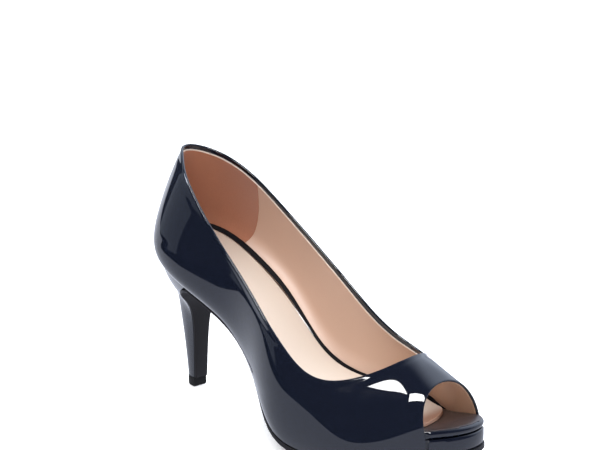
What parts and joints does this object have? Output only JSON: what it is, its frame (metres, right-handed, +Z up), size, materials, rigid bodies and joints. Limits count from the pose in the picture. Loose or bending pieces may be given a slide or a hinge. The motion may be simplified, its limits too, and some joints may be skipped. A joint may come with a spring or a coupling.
{
  "type": "peep toe pump",
  "caption": "Right shoe: a glossy low-cut pump with an open toe, a slim high heel, a hidden platform and a padded insole.",
  "frame": {"origin": "on the floor, under the centre of the heel's top piece", "axes": "+X towards the toe, +Y towards the inner side of the foot, +Z up"},
  "size_m": [0.2194, 0.0881, 0.1358],
  "materials": {
    "navy_patent": "glossy navy patent",
    "board_cover": "smooth near-black cover",
    "black_sole": "satin black sole",
    "cream_sock": "matt cream lining leather",
    "black_rubber": "matt black rubber"
  },
  "bodies": {
    "root": {"upper": "navy_patent", "outsole": "black_sole", "platform": "navy_patent", "insole_board": "board_cover", "sock_lining": "cream_sock", "heel": "navy_patent", "top_piece": "black_rubber"}
  },
  "joints": []
}
